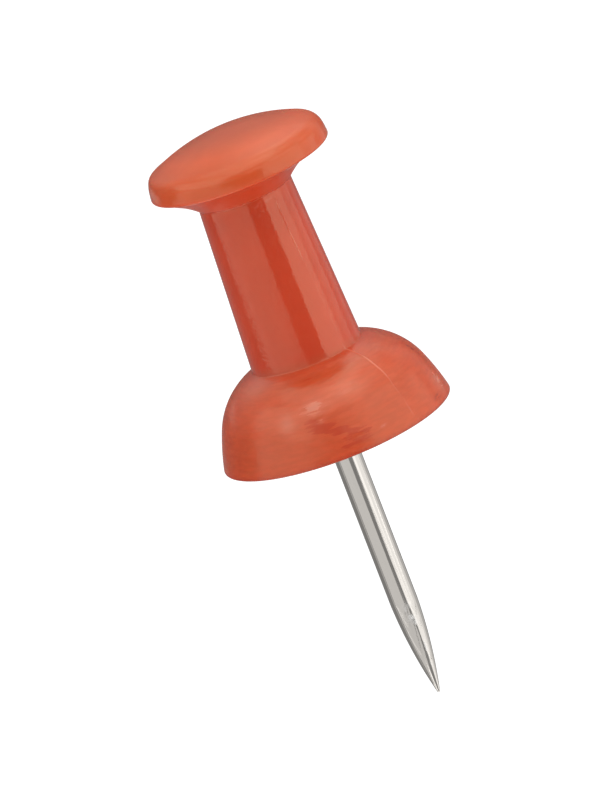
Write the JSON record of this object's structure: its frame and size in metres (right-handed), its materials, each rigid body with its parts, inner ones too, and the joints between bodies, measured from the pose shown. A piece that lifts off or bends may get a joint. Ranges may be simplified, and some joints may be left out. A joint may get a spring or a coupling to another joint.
{
  "type": "push pin",
  "caption": "Push pin with a spool-shaped moulded plastic head, domed finger disc and bell flange, and a ground steel needle that holds paper to a soft board.",
  "frame": {"origin": "on the axis, in the plane where the flange's seat ring meets the board", "axes": "+Z along the axis towards the finger disc; the needle points along -Z; the part is turned about Z"},
  "size_m": [0.0092, 0.0092, 0.0241],
  "materials": {
    "head_plastic": "glossy injection moulding, orange red, with fine flow streaks and a parting line",
    "needle_steel": "bright drawn steel, ground towards the point"
  },
  "bodies": {
    "root": {"moulded_head": "head_plastic", "steel_needle": "needle_steel"}
  },
  "joints": []
}
